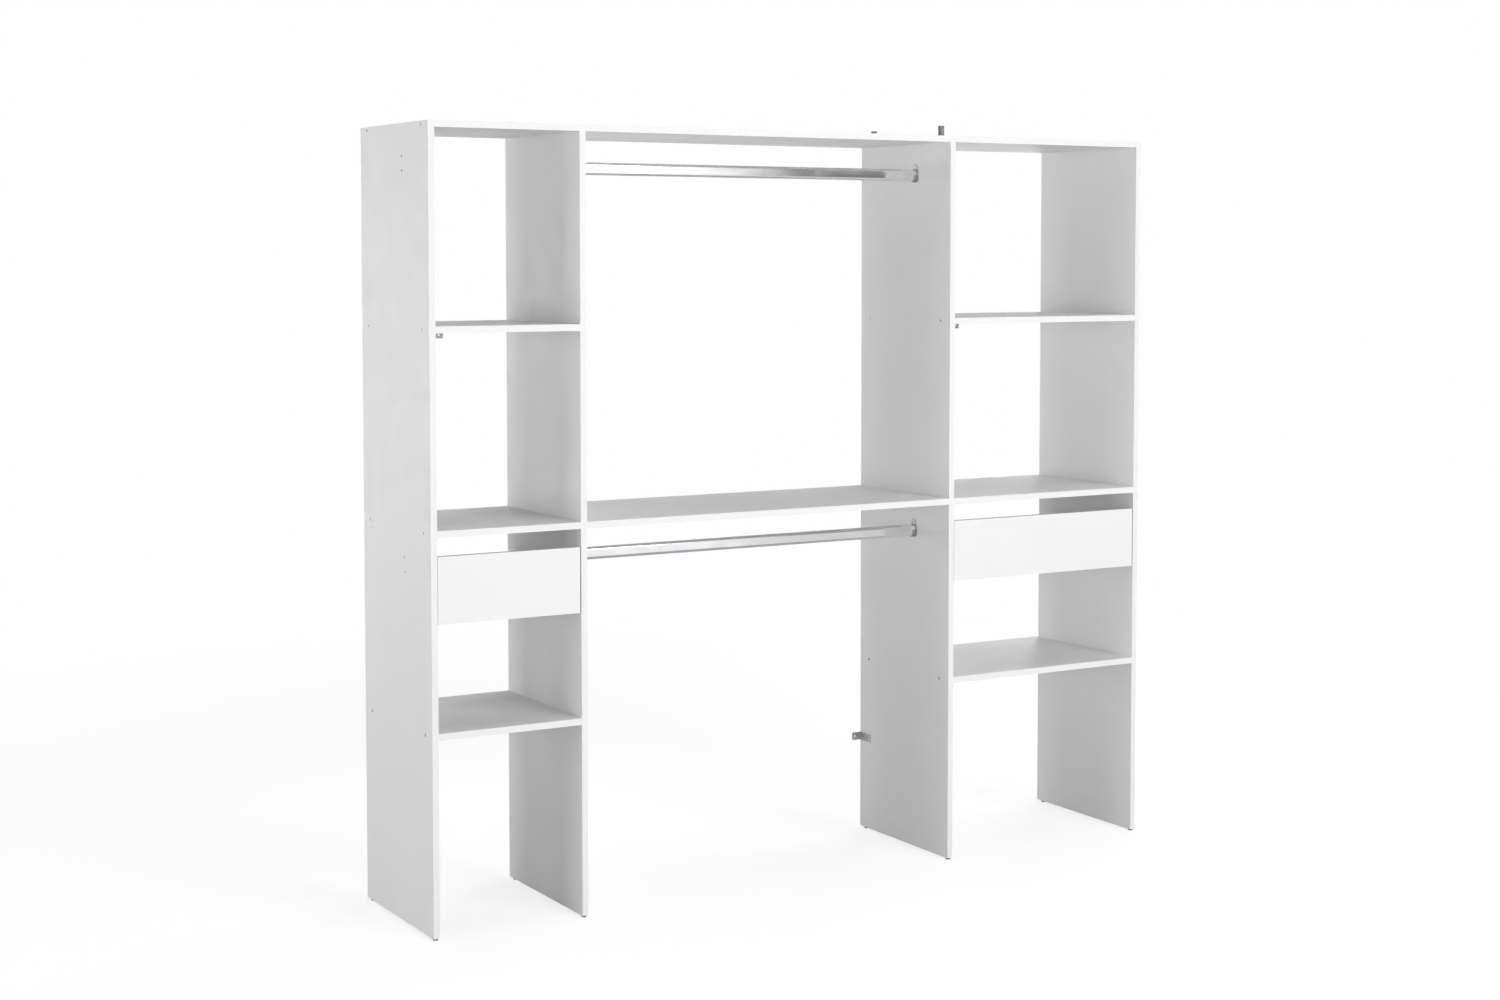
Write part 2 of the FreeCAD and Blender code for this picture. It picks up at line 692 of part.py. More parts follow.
def slide(name, face, side, screws):
    """Profile under the drawer side, with a flange over the front roller and a roller at its rear."""
    sign = "" if side > 0 else "-"
    step = "+" if side > 0 else "-"
    web = "(runner_gap - runner_sheet)"
    tip = "(runner_sheet + runner_gap_side)"
    strip = doc.addObject("PartDesign::Body", f"{name}_strip")
    profile = outline(strip, f"{name}_outline", "XZ_Plane", [
        (f"{sign}{tip}", SLIDE_FLANGE),
        (f"{sign}{web}", SLIDE_FLANGE),
        (f"{sign}{web}", "-runner_sheet"),
        (f"{sign}(runner_gap + box_board)", "-runner_sheet"),
        (f"{sign}(runner_gap + box_board)", "0"),
        (f"{sign}runner_gap", "0"),
        (f"{sign}runner_gap", f"{SLIDE_FLANGE} + runner_sheet"),
        (f"{sign}{tip}", f"{SLIDE_FLANGE} + runner_sheet"),
    ])
    pad(strip, f"{name}_pad", profile, "box_length", backwards=True)
    place(strip, (face, BOX_START, BOX_BOTTOM))
    pin = axle(f"{name}_axle", f"({face} {step} runner_gap)", REAR_ROLLER_Y, REAR_ROLLER_Z, -side)
    body = fuse(f"{name}_body", [strip] + pin)
    node(name, cut(f"{name}_piece", body, copies(f"{name}_screw_hole", screw_hole, screws)))
    roller_x = f"{face} {step} ({web} - roller_side_gap)"
    roller(f"{name}_roller", roller_x, REAR_ROLLER_Y, REAR_ROLLER_Z, -side)


def drawer(bay):
    start, end, clear = bay_start(bay), bay_end(bay), BAYS[bay][2]
    box_end = f"({BOX_START} + box_length)"
    panel_bottom = f"({BOX_BOTTOM} + groove_rise)"
    panel_top = f"({panel_bottom} + bottom_thickness + groove_gap)"
    inner_width = f"({clear} - 2 * (runner_gap + box_board))"
    inner_start = f"({start} + runner_gap + box_board)"

    front = box(f"{bay}_front_board",
                (f"{clear} - front_left_gap - front_right_gap", "board", "front_height"),
                (f"{start} + front_left_gap", FRONT, FRONT_BOTTOM))
    left_side = box(f"{bay}_left_board", ("box_board", "box_length", "box_height"),
                    (f"{start} + runner_gap", BOX_START, BOX_BOTTOM))
    right_side = box(f"{bay}_right_board", ("box_board", "box_length", "box_height"),
                     (f"{end} - runner_gap - box_board", BOX_START, BOX_BOTTOM))
    back = box(f"{bay}_back_board",
               (inner_width, "box_board", "box_height - groove_rise - bottom_thickness - groove_gap"),
               (inner_start, f"{box_end} - box_board", panel_top))
    panel = box(f"{bay}_bottom_panel",
                (f"{inner_width} + 2 * (groove_depth - groove_gap)",
                 "box_length + groove_depth - groove_gap", "bottom_thickness"),
                (f"{inner_start} - groove_depth + groove_gap",
                 f"{BOX_START} - groove_depth + groove_gap", panel_bottom))
    groove = box(f"{bay}_groove",
                 (f"{inner_width} + 2 * groove_depth", "box_length + groove_depth + overrun",
                  "bottom_thickness + 2 * groove_gap"),
                 (f"{inner_start} - groove_depth", f"{BOX_START} - groove_depth",
                  f"{panel_bottom} - groove_gap"))

    dowels = []
    front_holes, side_holes, back_holes = [], {1: [], -1: []}, []
    slide_screws = {1: [], -1: []}
    for side, outer, step in ((1, f"({start} + runner_gap)", "+"), (-1, f"({end} - runner_gap)", "-")):
        for z in (f"{panel_top} + box_dowel_inset", f"{BOX_BOTTOM} + box_height - box_dowel_inset"):
            front_dowel = ((f"{outer} {step} box_board / 2", f"{BOX_START} - box_dowel_in_front", z),
                           BACKWARD)
            back_dowel = ((f"{outer} {step} (box_board - box_dowel_in_side)",
                           f"{box_end} - box_board / 2", z), RIGHT if side > 0 else LEFT)
            dowels += [front_dowel, back_dowel]
            front_holes.append(front_dowel)
            back_holes.append(back_dowel)
            side_holes[side] += [front_dowel, back_dowel]
        for y in (f"{BOX_START} + slide_screw_inset", f"{box_end} - slide_screw_inset"):
            place_and_turn = ((f"{outer} {step} slide_screw_reach", y, f"{BOX_BOTTOM} - runner_sheet"),
                              DOWN)
            slide_screws[side].append(place_and_turn)

    node(f"{bay}_drawer_front",
         cut(f"{bay}_front_piece", cut(f"{bay}_front_grooved", front, [groove]),
             copies(f"{bay}_front_hole", box_dowel_hole, front_holes)))
    for side, board, name in ((1, left_side, "left_side"), (-1, right_side, "right_side")):
        grooved = cut(f"{bay}_{name}_grooved", board, [groove])
        tools = copies(f"{bay}_{name}_dowel_hole", box_dowel_hole, side_holes[side])
        tools += copies(f"{bay}_{name}_screw_hole", screw_hole, slide_screws[side])
        node(f"{bay}_drawer_{name}", cut(f"{bay}_{name}_piece", grooved, tools))
    node(f"{bay}_drawer_back",
         cut(f"{bay}_back_piece", back, copies(f"{bay}_back_hole", box_dowel_hole, back_holes)))
    node(f"{bay}_drawer_bottom", panel)
    node(f"{bay}_drawer_dowels",
         gather(f"{bay}_dowel_group", copies(f"{bay}_dowel", box_dowel_seed, dowels)))
    node(f"{bay}_drawer_screws",
         gather(f"{bay}_screw_group",
                copies(f"{bay}_screw", screw_seed, slide_screws[1] + slide_screws[-1])))

    left_upright, right_upright, _ = BAYS[bay]
    rail(f"{bay}_drawer_left_rail", left_upright, start, 1)
    rail(f"{bay}_drawer_right_rail", right_upright, end, -1)
    slide(f"{bay}_drawer_left_slide", start, 1, slide_screws[1])
    slide(f"{bay}_drawer_right_slide", end, -1, slide_screws[-1])


for bay in ("left", "right"):
    drawer(bay)


# Uprights and shelves, drilled for everything that goes into them

def drilled(name, board, bored):
    """Cut a board's holes, given as (seed, (place, turn))."""
    if not bored:
        return board
    tools = []
    for index, (seed, where) in enumerate(bored, start=1):
        tools += copies(f"{name}_hole_{index}", seed, [where])
    return cut(f"{name}_drilled", board, tools)


for upright, face in UPRIGHT_FACES.items():
    board = box(f"{upright}_board", ("board", "depth", "upright_height"), (face, FRONT, "glide_height"))
    node(f"{upright}_upright", drilled(upright, board, holes[upright]))

for shelf, (bay, level) in SHELVES.items():
    board = box(f"{shelf}_board", (BAYS[bay][2], "depth", "board"),
                (bay_start(bay), FRONT, f"{top_of(level)} - board"))
    bored = drilled(shelf, board, holes[shelf])
    node(shelf, drilled(f"{shelf}_cams", bored, cam_holes[shelf]))


# Groups of identical fasteners

cam_lock = turned("cam_lock", [("0", "0"), ("cam_diameter / 2", "0"),
                               ("cam_diameter / 2", "-cam_depth"), ("0", "-cam_depth")])
cross_recess(cam_lock, "cam")
cam_passage = cylinder("cam_passage", "cam_bolt_diameter / 2 + fit_gap", "cam_diameter",
                       ("-fit_gap", "0", "-board / 2"), RIGHT)
cam_seed = cut("cam_seed", cam_lock, [cam_passage])

GROUPS = {
    "connecting_screws": (connector_seed, connector_places),
    "cam_bolts": (bolt_seed, bolt_places),
    "cam_locks": (cam_seed, cam_places),
    "shelf_dowels": (dowel_seed, dowel_places),
    "wood_screws": (screw_seed, wood_screw_places),
    "glides": (glide_seed, glide_places),
    "top_studs": (stud_seed, stud_places),
}
for name, (seed, places) in GROUPS.items():
    node(name, gather(f"{name}_group", copies(f"{name}_copy", seed, places)))


# Recompute, check every object and write each sub-part

doc.recompute()
for item in doc.Objects:
    if {"Invalid", "Error"} & set(item.State):
        raise RuntimeError(f"{item.Name} failed: {item.State}")
for name, item in NODES.items():
    if item.Shape.isNull() or not item.Shape.isValid() or not item.Shape.Solids:
        raise RuntimeError(f"{name} has no valid solid")

os.makedirs("parts", exist_ok=True)
for name, item in NODES.items():
    item.Shape.exportStep(f"parts/{name}.step")
print(f"{len(NODES)} sub-parts, {sum(len(item.Shape.Solids) for item in NODES.values())} solids")
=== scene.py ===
"""Open-front wardrobe of white melamine board: its finishes, and a plain studio round it."""
import json
from math import cos, radians, sin, tau

import bpy
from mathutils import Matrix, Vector


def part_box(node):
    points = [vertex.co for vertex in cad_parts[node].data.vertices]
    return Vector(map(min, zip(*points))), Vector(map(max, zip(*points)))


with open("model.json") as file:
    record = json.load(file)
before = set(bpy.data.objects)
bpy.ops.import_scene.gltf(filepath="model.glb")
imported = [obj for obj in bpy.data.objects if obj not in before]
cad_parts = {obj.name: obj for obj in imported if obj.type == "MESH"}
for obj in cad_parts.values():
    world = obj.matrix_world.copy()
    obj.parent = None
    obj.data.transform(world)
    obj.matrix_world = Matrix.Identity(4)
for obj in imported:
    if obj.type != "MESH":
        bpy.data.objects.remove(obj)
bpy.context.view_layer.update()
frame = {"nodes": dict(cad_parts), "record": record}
NODES = frame["nodes"]
SLOTS = {part["node"]: part["material_slot"] for part in frame["record"]["subparts"]}


class Graph:
    """Shader nodes of a material or of the world. A value is a number, a tuple or another node's socket."""

    def __init__(self, owner):
        owner.use_nodes = True
        self.tree = owner.node_tree

    def node(self, kind, *values, **settings):
        """New node, with values for its first sockets in their order."""
        node = self.tree.nodes.new(kind)
        for name, setting in settings.items():
            setattr(node, name, setting)
        for socket, value in zip(node.inputs, values):
            self.feed(socket, value)
        return node

    def feed(self, socket, value):
        if isinstance(value, bpy.types.NodeSocket):
            self.tree.links.new(value, socket)
        else:
            socket.default_value = value

    def math(self, operation, *values):
        return self.node("ShaderNodeMath", *values, operation=operation).outputs[0]

    def vector(self, operation, *values):
        node = self.node("ShaderNodeVectorMath", *values, operation=operation)
        return node.outputs["Value" if operation == "LENGTH" else "Vector"]

    def axes(self, vector):
        return self.node("ShaderNodeSeparateXYZ", vector).outputs[:3]

    def ramp(self, value, low, high, to_low=0.0, to_high=1.0):
        """Smooth step of a value from low to high."""
        node = self.node("ShaderNodeMapRange", value, interpolation_type="SMOOTHSTEP")
        for name, number in (("From Min", low), ("From Max", high), ("To Min", to_low), ("To Max", to_high)):
            node.inputs[name].default_value = number
        return node.outputs[0]


class Finish(Graph):
    """Material of a CAD node. Places are in metres, in the wardrobe's own frame."""

    def __init__(self, name, metallic=0.0, specular=0.5, shift=(0, 0, 0)):
        self.material = bpy.data.materials.new(name)
        super().__init__(self.material)
        self.shader = self.tree.nodes["Principled BSDF"]
        self.shader.inputs["Metallic"].default_value = metallic
        self.shader.inputs["Specular IOR Level"].default_value = specular
        self.place = self.node("ShaderNodeTexCoord").outputs["Object"]
        self.pattern = self.vector("ADD", self.place, shift)

    def noise(self, scale, detail=2.0, stretch=(1, 1, 1), distortion=0.0):
        """Noise from 0 to 1, with about scale blotches to the metre."""
        node = self.node("ShaderNodeTexNoise")
        self.feed(node.inputs["Vector"], self.vector("MULTIPLY", self.pattern, stretch))
        node.inputs["Scale"].default_value = scale
        node.inputs["Detail"].default_value = detail
        node.inputs["Distortion"].default_value = distortion
        return node.outputs[0]

    def cells(self, scale):
        """Random value from 0 to 1 for each cell of a crystal pattern."""
        node = self.node("ShaderNodeTexVoronoi")
        self.feed(node.inputs["Vector"], self.pattern)
        node.inputs["Scale"].default_value = scale
        return self.axes(node.outputs["Color"])[0]

    def mix(self, share, first, second):
        node = self.node("ShaderNodeMix", data_type="RGBA")
        self.feed(node.inputs["Factor"], share)
        for name, colour in (("A", first), ("B", second)):
            socket = next(s for s in node.inputs if s.name == name and s.type == "RGBA")
            self.feed(socket, colour if isinstance(colour, bpy.types.NodeSocket) else (*colour, 1.0))
        return next(s for s in node.outputs if s.type == "RGBA")

    def finish(self, colour, roughness, bumps):
        """Feed the shader. Bumps are pairs of a height from 0 to 1 and its depth in metres."""
        self.feed(self.shader.inputs["Base Color"], colour)
        self.feed(self.shader.inputs["Roughness"], roughness)
        normal = None
        for height, depth in bumps:
            node = self.node("ShaderNodeBump")
            node.inputs["Strength"].default_value = 1.0
            node.inputs["Distance"].default_value = depth
            self.feed(node.inputs["Height"], height)
            if normal is not None:
                self.feed(node.inputs["Normal"], normal)
            normal = node.outputs[0]
        self.feed(self.shader.inputs["Normal"], normal)
        return self.material


def grey(value, warmth=0.0):
    """Grey of a brightness, yellower with more warmth."""
    return (value + warmth / 3, value, value - warmth)


def middle(name):
    low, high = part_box(name)
    return (low + high) / 2


def edge_distance(graph, name):
    """Distance of a point on a board's face from the nearest edge of the board, and its depth in a hole."""
    low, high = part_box(name)
    from_low = graph.axes(graph.vector("SUBTRACT", graph.place, low))
    from_high = graph.axes(graph.vector("SUBTRACT", high, graph.place))
    near = [graph.math("MINIMUM", a, b) for a, b in zip(from_low, from_high)]
    least, most, total = (graph.math(operation, graph.math(operation, near[0], near[1]), near[2])
                          for operation in ("MINIMUM", "MAXIMUM", "ADD"))
    return graph.math("SUBTRACT", graph.math("SUBTRACT", total, least), most), least


def melamine(name, index):
    """White melamine: pearl grain, cloudy sheen, rubbed edges, a banded front, raw board with painted shade
    in its holes.
    """
    edge_start, edge_end = 0.0002, 0.0018
    banding, joint_start, joint_end = 0.001, 0.00008, 0.0003
    hole_start, hole_end = 0.0002, 0.0004
    white, shaded_white, speck = grey(0.87), grey(0.853, 0.001), grey(0.74, 0.002)
    rubbed, joint = grey(0.6, 0.01), grey(0.42, 0.01)
    # Raw chipboard colours for the holes, the dark one darker than raw board as painted shade
    pale_chip, dark_chip_and_painted_shade = (0.34, 0.26, 0.17), (0.2, 0.145, 0.09)

    graph = Finish(f"melamine_{name}", specular=0.2, shift=(0.37 * index, 0.61 * index, 0.23 * index))
    cloud = graph.noise(3.1, 3.0)
    fleck = graph.noise(650.0, 1.0)
    grain = graph.noise(1500.0, 2.0)
    smear = graph.noise(19.0, 4.0, distortion=0.6)
    from_edge, in_hole = edge_distance(graph, name)
    edge = graph.ramp(from_edge, edge_start, edge_end, 1.0, 0.0)
    rub = graph.math("MULTIPLY", edge, graph.ramp(graph.noise(75.0, 4.0), 0.5, 0.68))
    depth = graph.math("SUBTRACT", graph.axes(graph.place)[1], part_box(name)[0].y)
    from_joint = graph.math("ABSOLUTE", graph.math("SUBTRACT", depth, banding))
    chip_colour_and_painted_hole_shade = graph.mix(graph.ramp(fleck, 0.4, 0.65), pale_chip, dark_chip_and_painted_shade)
    colour = graph.mix(graph.ramp(cloud, 0.3, 0.7), white, shaded_white)
    colour = graph.mix(graph.ramp(fleck, 0.35, 0.75, 0.0, 0.1), colour, speck)
    colour = graph.mix(graph.math("MULTIPLY", rub, 0.25), colour, rubbed)
    colour = graph.mix(graph.ramp(from_joint, joint_start, joint_end, 0.3, 0.0), colour, joint)
    # The holes take raw chipboard colour, darkened past it as painted shade
    colour = graph.mix(graph.ramp(in_hole, hole_start, hole_end), colour, chip_colour_and_painted_hole_shade)
    sheen = graph.ramp(smear, 0.3, 0.72, 0.48, 0.6)
    roughness = graph.math("ADD", sheen, graph.math("MULTIPLY", rub, 0.15))
    return graph.finish(colour, roughness, [(grain, 0.00002), (cloud, 0.0006)])


def foil(name, index):
    """White paper foil of a drawer box: a dull fibre grain along the board, scuffed at its edges."""
    edge_start, edge_end = 0.0002, 0.0016
    paper, fibre_shade, stain = grey(0.84, 0.012), grey(0.76, 0.018), grey(0.8, 0.02)
    scuffed = (0.5, 0.43, 0.34)

    graph = Finish(f"foil_{name}", specular=0.3, shift=(0.29 * index, 0.43 * index, 0.17 * index))
    low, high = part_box(name)
    along = (0.06, 1, 1) if high.x - low.x > high.y - low.y else (1, 0.06, 1)
    fibre = graph.noise(700.0, 3.0, along)
    cloud = graph.noise(9.0, 3.0)
    edge = graph.ramp(edge_distance(graph, name)[0], edge_start, edge_end, 1.0, 0.0)
    scuff = graph.math("MULTIPLY", edge, graph.ramp(graph.noise(110.0, 4.0), 0.45, 0.62))
    colour = graph.mix(graph.ramp(fibre, 0.3, 0.75, 0.0, 0.5), paper, fibre_shade)
    colour = graph.mix(graph.ramp(cloud, 0.4, 0.75, 0.0, 0.3), colour, stain)
    colour = graph.mix(graph.math("MULTIPLY", scuff, 0.4), colour, scuffed)
    return graph.finish(colour, graph.ramp(cloud, 0.3, 0.7, 0.5, 0.62), [(fibre, 0.00002)])


def hardboard(name, index):
    """Hardboard: lacquered white above, thinly painted below, with brown pressed fibre at its edges."""
    coat_start, coat_end = 0.0001, 0.0003
    dark_fibre, pale_fibre = (0.2, 0.115, 0.062), (0.37, 0.235, 0.14)
    paint, thin_paint = grey(0.78, 0.012), grey(0.68, 0.03)
    lacquer, lacquer_shade = grey(0.83, 0.01), grey(0.79, 0.014)

    graph = Finish(f"hardboard_{name}", specular=0.3, shift=(0.19 * index, 0.31 * index, 0.0))
    low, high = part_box(name)
    fibre = graph.noise(420.0, 5.0, distortion=1.4)
    screen = graph.noise(900.0, 2.0)
    height = graph.axes(graph.place)[2]
    below = graph.ramp(graph.math("SUBTRACT", height, low.z), coat_start, coat_end, 1.0, 0.0)
    above = graph.ramp(graph.math("SUBTRACT", high.z, height), coat_start, coat_end, 1.0, 0.0)
    edge_colour = graph.mix(graph.ramp(fibre, 0.3, 0.7), dark_fibre, pale_fibre)
    lower_colour = graph.mix(graph.ramp(fibre, 0.35, 0.7), paint, thin_paint)
    upper_colour = graph.mix(graph.ramp(screen, 0.3, 0.7), lacquer, lacquer_shade)
    colour = graph.mix(above, graph.mix(below, edge_colour, lower_colour), upper_colour)
    roughness = graph.math("MULTIPLY_ADD", above, -0.25, 0.7)
    return graph.finish(colour, roughness, [(fibre, 0.00006), (screen, 0.00002)])


def chrome(name, index):
    """Bright chrome: faint polishing lines, thin smears, and lines rubbed over the top by hangers."""
    crown = 0.006
    bright, smeared, worn_through = (0.9, 0.905, 0.915), (0.82, 0.826, 0.836), (0.6, 0.6, 0.605)

    graph = Finish(f"chrome_{name}", metallic=1.0, shift=(0.11 * index, 0.0, 0.0))
    draw = graph.noise(2600.0, 2.0, (0.02, 1, 1))
    smear = graph.noise(26.0, 4.0, (0.4, 1, 1), distortion=0.8)
    hangers = graph.noise(1400.0, 2.0, (1, 0.04, 0.04))
    top = graph.ramp(graph.axes(graph.place)[2], middle(name).z + crown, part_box(name)[1].z)
    worn = graph.math("MULTIPLY", top, graph.ramp(hangers, 0.6, 0.7))
    colour = graph.mix(graph.ramp(smear, 0.35, 0.7), bright, smeared)
    colour = graph.mix(graph.math("MULTIPLY", worn, 0.3), colour, worn_through)
    polish = graph.ramp(smear, 0.35, 0.75, 0.07, 0.16)
    roughness = graph.math("ADD", polish, graph.math("MULTIPLY", worn, 0.14))
    return graph.finish(colour, roughness, [(draw, 0.0000015)])


def satin_nickel(name, index):
    """Nickel plate of the rod brackets: a darker, softer shine than the rod's, dulled in cloudy patches."""
    graph = Finish(f"nickel_{name}", metallic=1.0, shift=(0.0, 0.07 * index, 0.0))
    skin = graph.noise(900.0, 3.0)
    cloud = graph.noise(120.0, 3.0)
    colour = graph.mix(graph.ramp(cloud, 0.3, 0.7), (0.38, 0.38, 0.382), (0.31, 0.31, 0.312))
    return graph.finish(colour, graph.ramp(cloud, 0.3, 0.7, 0.42, 0.56), [(skin, 0.00001)])


def powder_coat(name, index):
    """White powder coat on rolled steel: orange peel, and grey streaks along the way the rollers run."""
    coat, patch_shade, streak = grey(0.84, 0.008), grey(0.8, 0.012), grey(0.55, 0.01)

    graph = Finish("powder_coat", specular=0.4)
    peel = graph.noise(620.0, 2.0)
    track = graph.noise(260.0, 3.0, (1, 0.03, 1))
    patch = graph.noise(14.0, 3.0)
    colour = graph.mix(graph.ramp(patch, 0.3, 0.7), coat, patch_shade)
    colour = graph.mix(graph.ramp(track, 0.56, 0.72, 0.0, 0.3), colour, streak)
    return graph.finish(colour, graph.ramp(patch, 0.3, 0.7, 0.34, 0.46), [(peel, 0.00005)])


def nylon(name, index):
    """Moulded white nylon roller with fine turned rings and a greyed running face."""
    ring_pitch = 0.0007
    rim_start, rim_end = 0.0088, 0.0099
    plastic, plastic_shade, rolled = grey(0.8, 0.025), grey(0.75, 0.03), grey(0.5, 0.01)

    graph = Finish(f"nylon_{name}", specular=0.4)
    grain = graph.noise(900.0, 2.0)
    flat = graph.vector("MULTIPLY", graph.vector("SUBTRACT", graph.place, middle(name)), (0, 1, 1))
    radius = graph.vector("LENGTH", flat)
    wave = graph.math("SINE", graph.math("MULTIPLY", radius, tau / ring_pitch))
    rings = graph.math("MULTIPLY_ADD", wave, 0.5, 0.5)
    rim = graph.ramp(radius, rim_start, rim_end)
    dirt = graph.math("MULTIPLY", rim, graph.ramp(grain, 0.3, 0.6, 0.3, 0.7))
    colour = graph.mix(graph.ramp(grain, 0.3, 0.7), plastic, plastic_shade)
    colour = graph.mix(dirt, colour, rolled)
    roughness = graph.ramp(grain, 0.3, 0.7, 0.36, 0.5)
    return graph.finish(colour, roughness, [(rings, 0.00002), (grain, 0.00002)])


def bright_zinc(name, index):
    """Zinc-plated screw steel: a soft blue-grey shine with dull patches."""
    graph = Finish(f"zinc_{name}", metallic=1.0)
    patch = graph.noise(420.0, 3.0)
    pits = graph.noise(2200.0, 2.0)
    colour = graph.mix(graph.ramp(patch, 0.35, 0.7), (0.36, 0.365, 0.37), (0.25, 0.253, 0.256))
    return graph.finish(colour, graph.ramp(patch, 0.3, 0.7, 0.36, 0.52), [(pits, 0.000012)])


def cast_zinc(name, index):
    """Die-cast cam metal: dull grey with a frosty, pitted skin."""
    graph = Finish(f"cast_{name}", metallic=1.0)
    frost = graph.noise(800.0, 4.0)
    patch = graph.noise(160.0, 2.0)
    colour = graph.mix(graph.ramp(frost, 0.35, 0.7), (0.5, 0.5, 0.505), (0.34, 0.34, 0.345))
    return graph.finish(colour, graph.ramp(patch, 0.3, 0.7, 0.45, 0.65), [(frost, 0.00003)])


def spangled_steel(name, index):
    """Galvanised sheet: interlocked crystals of several greys, darkened by a fine frost."""
    dark_crystal, bright_crystal, frosted = (0.34, 0.345, 0.355), (0.5, 0.505, 0.51), (0.24, 0.24, 0.25)

    graph = Finish(f"galvanised_{name}", metallic=1.0, shift=(0.0, 0.0, 0.13 * index))
    crystals = graph.cells(330.0)
    frost = graph.noise(1100.0, 3.0)
    colour = graph.mix(crystals, dark_crystal, bright_crystal)
    colour = graph.mix(graph.ramp(frost, 0.55, 0.8, 0.0, 0.4), colour, frosted)
    roughness = graph.math("MULTIPLY_ADD", crystals, 0.16, 0.34)
    return graph.finish(colour, roughness, [(crystals, 0.000006), (frost, 0.00001)])


def coated_steel(name, index):
    """Turned steel under a thin matt grey coat: level tool rings, and smears that dull it."""
    graph = Finish("coated_steel", specular=0.25)
    tool = graph.noise(5200.0, 1.0, (0.01, 0.01, 1))
    smear = graph.noise(130.0, 3.0)
    colour = graph.mix(graph.ramp(smear, 0.35, 0.7), grey(0.22), grey(0.17))
    return graph.finish(colour, graph.ramp(smear, 0.3, 0.7, 0.46, 0.6), [(tool, 0.000006)])


def beech(name, index):
    """Beech dowel: fine straight grain with short dark flecks."""
    pale_grain, dark_grain, dark_fleck = (0.6, 0.41, 0.25), (0.46, 0.29, 0.16), (0.3, 0.17, 0.09)

    graph = Finish(f"beech_{name}", specular=0.3)
    grain = graph.noise(1300.0, 3.0, (0.05, 1, 1))
    flecks = graph.noise(700.0, 1.0, (0.12, 1, 1))
    colour = graph.mix(graph.ramp(grain, 0.3, 0.7), pale_grain, dark_grain)
    colour = graph.mix(graph.ramp(flecks, 0.62, 0.72, 0.0, 0.6), colour, dark_fleck)
    return graph.finish(colour, graph.ramp(grain, 0.3, 0.7, 0.6, 0.75), [(grain, 0.00005)])


def glide_plastic(name, index):
    """Dark moulded plastic with an eroded texture and faint flow marks."""
    graph = Finish("glide_plastic", specular=0.4)
    spark = graph.noise(1900.0, 3.0)
    flow = graph.noise(90.0, 2.0, distortion=1.5)
    colour = graph.mix(graph.ramp(flow, 0.3, 0.7), grey(0.06), grey(0.04))
    return graph.finish(colour, graph.ramp(spark, 0.3, 0.7, 0.45, 0.57), [(spark, 0.00004)])


FINISHES = {
    "white_board": melamine,
    "drawer_board": foil,
    "hardboard": hardboard,
    "chrome": chrome,
    "satin_nickel": satin_nickel,
    "runner_steel": powder_coat,
    "roller_plastic": nylon,
    "screw_steel": bright_zinc,
    "cam_metal": cast_zinc,
    "bracket_steel": spangled_steel,
    "stud_steel": coated_steel,
    "dowel_wood": beech,
    "glide_plastic": glide_plastic,
}
for index, (name, node) in enumerate(NODES.items()):
    material = FINISHES[SLOTS[name]](name, index)
    for holder in node.material_slots:
        holder.material = material


class Surroundings(Graph):
    """Shader of the sky, the floor or a card. It starts with no nodes but its place."""

    def __init__(self, owner, coordinates="Object"):
        super().__init__(owner)
        self.tree.nodes.clear()
        self.place = self.node("ShaderNodeTexCoord").outputs[coordinates]

    def light(self, kind, strength):
        return self.node(kind, (1, 1, 1, 1), strength).outputs[0]

    def matt(self, value):
        return self.node("ShaderNodeBsdfDiffuse", (value, value, value, 1)).outputs[0]

    def show(self, output, seen, plain):
        """Use one shader for what is seen or mirrored, and the other for the light that falls on things."""
        rays = self.node("ShaderNodeLightPath").outputs
        total = rays["Is Camera Ray"]
        for name in ("Is Glossy Ray", "Is Transmission Ray"):
            total = self.node("ShaderNodeMath", total, rays[name], operation="ADD", use_clamp=True).outputs[0]
        self.node(output, self.node("ShaderNodeMixShader", total, plain, seen).outputs[0])


scene = bpy.context.scene
scene.view_settings.view_transform = "Standard"

# Sky: the height of a direction where white ends and grey begins, and the strengths
WHITE_TO, GREY_FROM = 0.24, 0.5
SKY_WHITE, SKY_GREY, SKY_LIGHT = 1.0, 0.5, 0.1

world = bpy.data.worlds.new("studio")
scene.world = world
sky = Surroundings(world, "Generated")
brightness = sky.ramp(sky.axes(sky.place)[2], WHITE_TO, GREY_FROM, SKY_WHITE, SKY_GREY)
sky.show("ShaderNodeOutputWorld",
         sky.light("ShaderNodeBackground", brightness),
         sky.light("ShaderNodeBackground", SKY_LIGHT))

# Floor: a disc that takes the shadow near the wardrobe and fades to plain white farther out
FLOOR_RADIUS, FLOOR_SIDES = 16.0, 96
FADE_START, FADE_END = 1.6, 4.0
FLOOR_MATT, FLOOR_GLOW, FLOOR_WHITE = 0.42, 0.7, 1.0
FLOOR_UNSEEN = 0.5

bpy.ops.mesh.primitive_circle_add(vertices=FLOOR_SIDES, radius=FLOOR_RADIUS, fill_type="NGON",
                                  location=(0, 0, 0))
floor = bpy.context.object
floor.name = "floor"
floor_white = bpy.data.materials.new("floor_white")
ground = Surroundings(floor_white)
glow = ground.light("ShaderNodeEmission", FLOOR_GLOW)
near = ground.node("ShaderNodeAddShader", ground.matt(FLOOR_MATT), glow)
far = ground.light("ShaderNodeEmission", FLOOR_WHITE)
fade = ground.ramp(ground.vector("LENGTH", ground.place), FADE_START, FADE_END)
seen = ground.node("ShaderNodeMixShader", fade, near.outputs[0], far)
ground.show("ShaderNodeOutputMaterial", seen.outputs[0], ground.matt(FLOOR_UNSEEN))
floor.data.materials.append(floor_white)

# Lowest and highest corner of each reflection card, a glowing sheet that paints grey reflections into the
# metal
SIDE_REFLECTION_CARD = ((1.2, -3.0, 0.01), (3.8, -3.0, 3.2))
GROUND_REFLECTION_CARD = ((-3.0, -2.6, 0.002), (3.6, 1.2, 0.002))


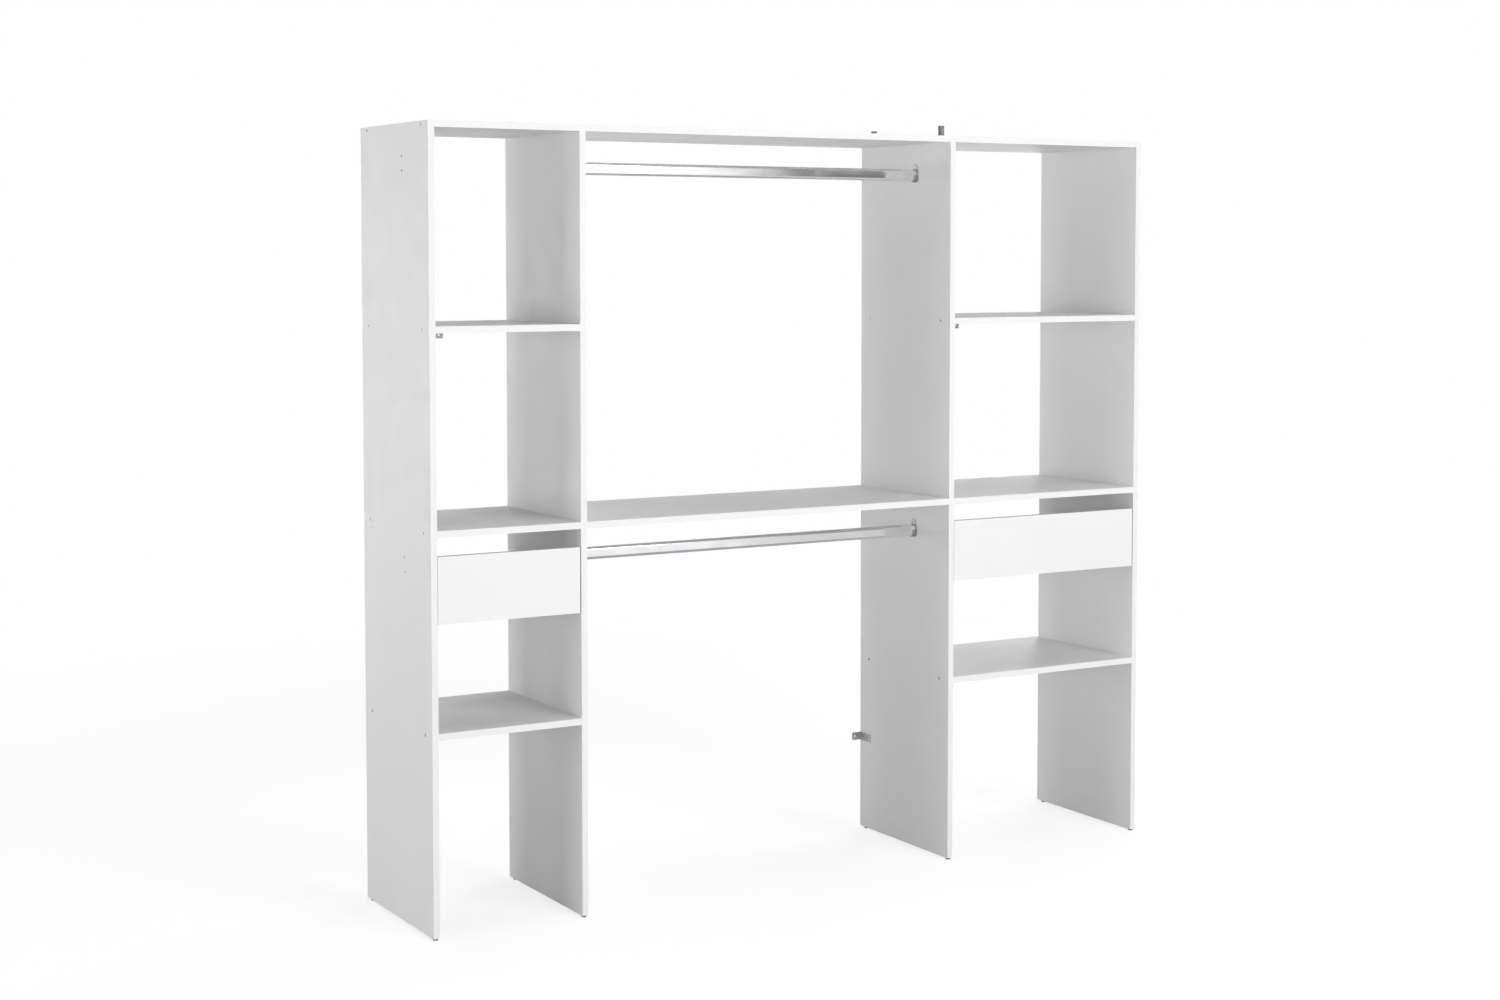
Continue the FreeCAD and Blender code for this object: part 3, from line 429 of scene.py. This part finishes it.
def card(name, low, high, shade):
    """Glowing studio card seen only in the shine of the metal, where it paints grey reflections."""
    mesh = bpy.data.meshes.new(name)
    mesh.from_pydata([low, (high[0], *low[1:]), high, (low[0], *high[1:])], [], [(0, 1, 2, 3)])
    item = bpy.data.objects.new(name, mesh)
    for ray in ("camera", "diffuse", "transmission", "volume_scatter", "shadow"):
        setattr(item, f"visible_{ray}", False)
    scene.collection.objects.link(item)
    material = bpy.data.materials.new(name)
    paint = Surroundings(material)
    paint.node("ShaderNodeOutputMaterial", paint.light("ShaderNodeEmission", shade(paint)))
    mesh.materials.append(material)


def side_painted_reflection(paint):
    """Painted reflection: white at the left, turning to grey at the right, and darker higher up."""
    white_to, grey_from = 1.35, 1.95
    low, high = 0.4, 1.7
    low_depth, high_depth = 0.3, 0.82
    x, _, z = paint.axes(paint.place)
    depth = paint.math("MULTIPLY", paint.ramp(x, white_to, grey_from),
                       paint.ramp(z, low, high, low_depth, high_depth))
    return paint.math("SUBTRACT", 1.0, depth)


def ground_painted_reflection(paint):
    """Painted reflection: white along the front edge, fading to grey behind it."""
    grey_from, grey_strength = -1.9, 0.42
    return paint.ramp(paint.axes(paint.place)[1], GROUND_REFLECTION_CARD[0][1], grey_from, 1.0, grey_strength)


# Both cards paint grey reflections into the chrome and other shiny parts
card("side_reflection_card", *SIDE_REFLECTION_CARD, side_painted_reflection)
card("ground_reflection_card", *GROUND_REFLECTION_CARD, ground_painted_reflection)

AIM = Vector((0.0, 0.0, 0.9))
LAMP_DISTANCE = 6.0
LAMP_SIZE = (3.4, 2.6)
ABOVE_AT = (0.0, 0.0, 5.5)
ABOVE_SIZE = (4.0, 3.0)


def around(turn, height):
    """Place at the lamps' distance, turned by degrees from straight in front towards the right."""
    return (LAMP_DISTANCE * sin(radians(turn)), -LAMP_DISTANCE * cos(radians(turn)), height)


def lamp(name, at, size, power):
    data = bpy.data.lights.new(name, "AREA")
    data.shape = "RECTANGLE"
    data.size, data.size_y = size
    data.energy = power
    item = bpy.data.objects.new(name, data)
    item.location = at
    item.rotation_euler = (AIM - Vector(at)).to_track_quat("-Z", "Y").to_euler()
    item.visible_camera = False
    scene.collection.objects.link(item)


lamp("front_left", around(-15, 1.0), LAMP_SIZE, 140.0)
lamp("front_right", around(15, 2.8), LAMP_SIZE, 200.0)
lamp("left", around(-90, 1.0), LAMP_SIZE, 124.0)
lamp("back_left", around(-150, 1.0), LAMP_SIZE, 72.0)
lamp("back_right", around(120, 1.0), LAMP_SIZE, 240.0)
lamp("above", ABOVE_AT, ABOVE_SIZE, 80.0)

CAMERA_AT = (-2.9617, -4.9476, 1.5123)
CAMERA_YAW = 30.347
CAMERA_PITCH = 3.243
CAMERA_LENS = 56.272
CAMERA_SENSOR = 36.0
CAMERA_SHIFT = -0.075

view = bpy.data.cameras.new("photo_view")
view.lens = CAMERA_LENS
view.sensor_width = CAMERA_SENSOR
view.shift_y = CAMERA_SHIFT
camera = bpy.data.objects.new("photo_view", view)
camera.location = CAMERA_AT
camera.rotation_euler = (radians(90.0 - CAMERA_PITCH), 0.0, radians(-CAMERA_YAW))
scene.collection.objects.link(camera)
scene.camera = camera
